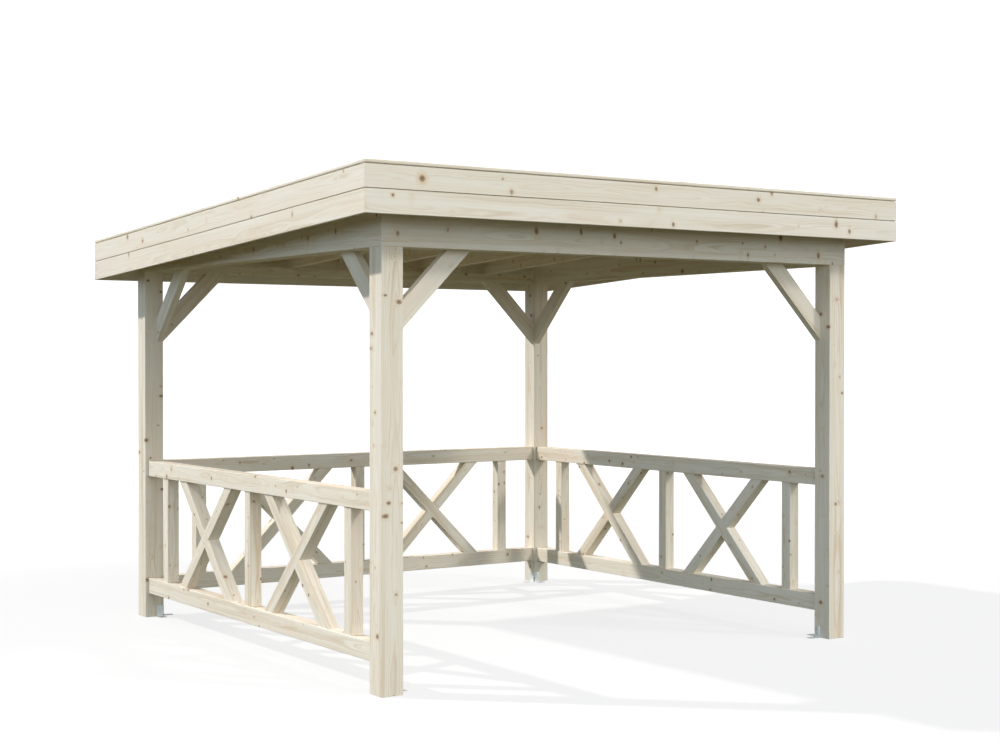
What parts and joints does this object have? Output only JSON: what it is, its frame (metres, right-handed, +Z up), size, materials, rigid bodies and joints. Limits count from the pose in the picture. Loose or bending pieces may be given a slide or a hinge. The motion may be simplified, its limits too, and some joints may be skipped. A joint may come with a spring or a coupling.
{
  "type": "garden gazebo",
  "caption": "Open square timber gazebo: posts, knee braces, beams, a nearly flat boarded roof with fascia, and railings with crosses on three sides.",
  "frame": {"origin": "on the ground at the middle of the plan", "axes": "+Z up, +X along the open front to the right, +Y from the open front to the back"},
  "size_m": [3.4, 3.4, 2.4753],
  "materials": {
    "posts": "planed untreated spruce",
    "beams": "planed untreated spruce",
    "braces": "planed untreated spruce",
    "rails": "planed untreated spruce",
    "infill": "planed untreated spruce",
    "rafters": "planed untreated spruce",
    "roof_boards": "tongued and grooved untreated spruce",
    "fascia": "planed untreated spruce",
    "caps": "planed untreated spruce",
    "galvanised_steel": "hot-dip galvanised"
  },
  "bodies": {
    "root": {"post_front_left": "posts", "post_front_right": "posts", "post_back_left": "posts", "post_back_right": "posts", "beam_front": "beams", "beam_back": "beams", "beam_left": "beams", "beam_right": "beams", "braces_front": "braces", "braces_back": "braces", "braces_left": "braces", "braces_right": "braces", "left_top_rail": "rails", "left_bottom_rail": "rails", "left_balusters": "infill", "left_rising_bars": "infill", "left_falling_bars": "infill", "back_top_rail": "rails", "back_bottom_rail": "rails", "back_balusters": "infill", "back_rising_bars": "infill", "back_falling_bars": "infill", "right_top_rail": "rails", "right_bottom_rail": "rails", "right_balusters": "infill", "right_rising_bars": "infill", "right_falling_bars": "infill", "rafter_1": "rafters", "rafter_2": "rafters", "rafter_3": "rafters", "rafter_4": "rafters", "rafter_5": "rafters", "verge_rafters": "rafters", "roof_deck": "roof_boards", "fascia_front": "fascia", "fascia_back": "fascia", "fascia_left": "fascia", "fascia_right": "fascia", "cap_front": "caps", "cap_back": "caps", "cap_left": "caps", "cap_right": "caps", "foot_angles_front": "galvanised_steel", "foot_angles_back": "galvanised_steel"}
  },
  "joints": []
}
